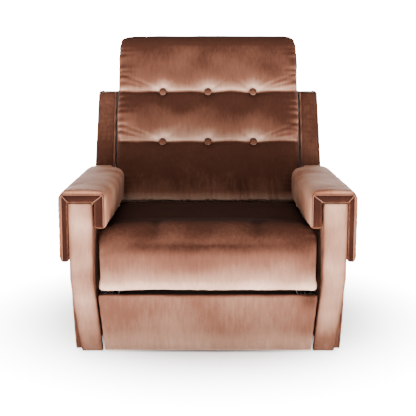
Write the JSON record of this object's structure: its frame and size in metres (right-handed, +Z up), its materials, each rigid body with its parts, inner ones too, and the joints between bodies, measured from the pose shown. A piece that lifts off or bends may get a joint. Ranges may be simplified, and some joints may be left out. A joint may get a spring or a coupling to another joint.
{
  "type": "recliner armchair",
  "caption": "Low upholstered armchair with thick saddle arm pads, raised side wings, a button-tufted backrest that reclines, and a front panel that swings out as a leg rest.",
  "frame": {"origin": "on the floor, under the middle of the chair's box", "axes": "+Z up, +Y to the rear of the chair, +X across it"},
  "size_m": [0.892, 0.9254, 0.9857],
  "materials": {
    "velvet": "brown cut-pile velvet, worn",
    "velvet_trim": "the same velvet with its pile lying towards the light",
    "velvet_button": "velvet pulled over a metal button",
    "beech": "planed, unfinished",
    "plywood": "sanded birch plywood",
    "rubber_webbing": "fabric-faced rubber webbing",
    "dust_cloth": "thin black cambric",
    "glide_nylon": "moulded nylon",
    "runner_nylon": "machined nylon",
    "zinc_steel": "bright zinc plated",
    "steel": "dark enamelled pressed steel"
  },
  "bodies": {
    "chair_body": {"side_frame_left": "beech", "side_frame_right": "beech", "side_cover_left": "velvet", "side_cover_right": "velvet", "arm_facing_left": "velvet_trim", "arm_facing_right": "velvet_trim", "arm_board_left": "plywood", "arm_board_right": "plywood", "arm_pad_left": "velvet_trim", "arm_pad_right": "velvet_trim", "front_rail": "beech", "rear_rail": "beech", "rear_skirt": "velvet", "dust_cover": "dust_cloth", "rail_bolts": "zinc_steel", "floor_glides": "glide_nylon", "guide_channel_left": "steel", "guide_channel_right": "steel"},
    "seat_carriage": {"seat_frame": "beech", "seat_webbing": "rubber_webbing", "seat_cushion": "velvet", "seat_side_plate_left": "steel", "seat_side_plate_right": "steel", "runner_left": "runner_nylon", "runner_right": "runner_nylon", "plate_screws": "zinc_steel"},
    "backrest": {"back_frame": "beech", "back_webbing": "rubber_webbing", "back_cushion": "velvet", "back_buttons": "velvet_button", "outer_back": "velvet", "back_bracket_left": "steel", "back_bracket_right": "steel", "bracket_bolts": "zinc_steel"},
    "rear_lower_links": {"rear_lower_link_left": "steel", "rear_lower_link_right": "steel", "link_cross_tube": "steel"},
    "rear_upper_links": {"rear_upper_link_left": "steel", "rear_upper_link_right": "steel"},
    "front_lower_links": {"front_lower_link_left": "steel", "front_lower_link_right": "steel"},
    "front_upper_links": {"front_upper_link_left": "steel", "front_upper_link_right": "steel"},
    "legrest": {"legrest_board": "plywood", "legrest_pad": "velvet_trim", "legrest_bracket_left": "steel", "legrest_bracket_right": "steel", "legrest_screws": "zinc_steel"}
  },
  "joints": [
    {"name": "seat_glide", "type": "slide", "parent": "chair_body", "child": "seat_carriage", "axis": [0, -1, 0], "range_m": [0, 0.06]},
    {"name": "back_recline", "type": "hinge", "parent": "seat_carriage", "child": "backrest", "pos_m": [0, 0.18719, 0.29], "axis": [-1, 0, 0], "range_deg": [0, 30]},
    {"name": "legrest_lift", "type": "hinge", "parent": "seat_carriage", "child": "rear_lower_links", "pos_m": [0, -0.327, 0.15557], "axis": [-1, 0, 0], "range_deg": [0, 57]},
    {"name": "rear_cross_pivot", "type": "hinge", "parent": "rear_lower_links", "child": "rear_upper_links", "pos_m": [0, -0.35322, 0.09067], "axis": [-1, 0, 0], "range_deg": [-114.1, 0]},
    {"name": "front_lower_pivot", "type": "hinge", "parent": "rear_upper_links", "child": "front_lower_links", "pos_m": [0, -0.3459, 0.16029], "axis": [-1, 0, 0], "range_deg": [0, 114.1]},
    {"name": "front_upper_pivot", "type": "hinge", "parent": "rear_lower_links", "child": "front_upper_links", "pos_m": [0, -0.37944, 0.02577], "axis": [-1, 0, 0], "range_deg": [-114.1, 0]},
    {"name": "legrest_tilt", "type": "hinge", "parent": "front_upper_links", "child": "legrest", "pos_m": [0, -0.36481, 0.165], "axis": [-1, 0, 0], "range_deg": [0, 137.1]}
  ],
  "couplings": [
    {"joint": "back_recline", "follows": "seat_glide", "rad_per_m": 8.7266},
    {"joint": "rear_cross_pivot", "follows": "legrest_lift", "ratio": -2},
    {"joint": "front_lower_pivot", "follows": "legrest_lift", "ratio": 2},
    {"joint": "front_upper_pivot", "follows": "legrest_lift", "ratio": -2},
    {"joint": "legrest_tilt", "follows": "legrest_lift", "ratio": 2.4035}
  ]
}
